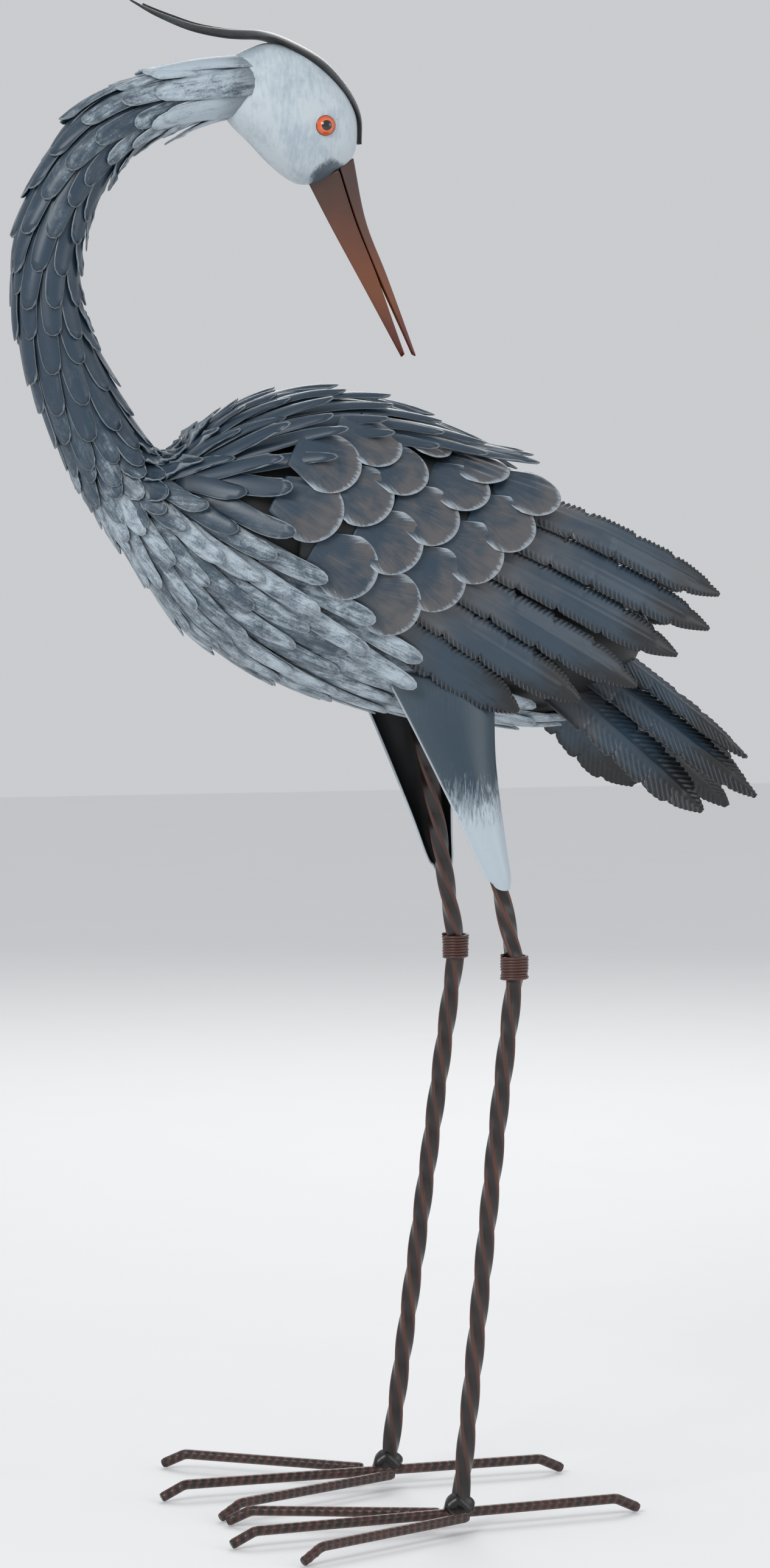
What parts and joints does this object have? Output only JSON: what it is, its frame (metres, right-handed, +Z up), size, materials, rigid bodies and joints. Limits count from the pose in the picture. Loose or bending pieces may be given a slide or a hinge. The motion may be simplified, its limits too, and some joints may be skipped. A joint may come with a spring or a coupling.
{
  "type": "garden statue",
  "caption": "Standing heron of painted sheet metal feathers on two twisted rod legs with splayed rod toes, neck arched back and bill pointing down",
  "frame": {"origin": "on the ground, under the middle of the outline", "axes": "+Z up; +X towards the tail, so the breast faces -X; +Y towards the right wing, so the left side faces -Y"},
  "size_m": [0.474, 0.3254, 0.917],
  "materials": {
    "neck_paint": "slate blue paint dry-brushed with pale grey on cut sheet feathers",
    "body_paint": "slate blue and pale grey brushed paint on cut sheet feathers",
    "head_paint": "pale grey-white brushed paint with bluish smudges",
    "crest_paint": "black satin paint with a worn bright edge",
    "beak_paint": "brown paint over folded sheet, reddish towards the tips",
    "eye_gloss": "glossy orange bead with a black pupil",
    "covert_paint": "slate and brownish grey paint with a pale dry-brushed fringe on each scale",
    "flight_paint": "brownish grey to slate blue paint ending in black tips",
    "tail_paint": "slate blue paint with black tips, pale striped undersides",
    "thigh_paint": "slate blue at the top brushed out to pale grey at the bottom",
    "leg_paint": "brown paint on a twisted bar with orange-brown worn ridges",
    "wire_paint": "brown paint on tightly wound wire",
    "toe_paint": "brown to black paint on ribbed bar"
  },
  "bodies": {
    "root": {"neck": "neck_paint", "body": "body_paint", "head": "head_paint", "crest": "crest_paint", "upper_beak": "beak_paint", "lower_beak": "beak_paint", "left_eye": "eye_gloss", "right_eye": "eye_gloss", "left_wing_coverts": "covert_paint", "left_flight_feather_1": "flight_paint", "left_flight_feather_2": "flight_paint", "left_flight_feather_3": "flight_paint", "left_flight_feather_4": "flight_paint", "left_flight_feather_5": "flight_paint", "left_flight_feather_6": "flight_paint", "right_wing_coverts": "covert_paint", "right_flight_feather_1": "flight_paint", "right_flight_feather_2": "flight_paint", "right_flight_feather_3": "flight_paint", "right_flight_feather_4": "flight_paint", "right_flight_feather_5": "flight_paint", "right_flight_feather_6": "flight_paint", "left_tail_feather_1": "tail_paint", "left_tail_feather_2": "tail_paint", "left_tail_feather_3": "tail_paint", "right_tail_feather_1": "tail_paint", "right_tail_feather_2": "tail_paint", "right_tail_feather_3": "tail_paint", "left_thigh": "thigh_paint", "left_leg": "leg_paint", "left_knee_wire": "wire_paint", "left_middle_and_back_toe": "toe_paint", "left_inner_toe": "toe_paint", "left_outer_toe": "toe_paint", "right_thigh": "thigh_paint", "right_leg": "leg_paint", "right_knee_wire": "wire_paint", "right_middle_and_back_toe": "toe_paint", "right_inner_toe": "toe_paint", "right_outer_toe": "toe_paint"}
  },
  "joints": []
}
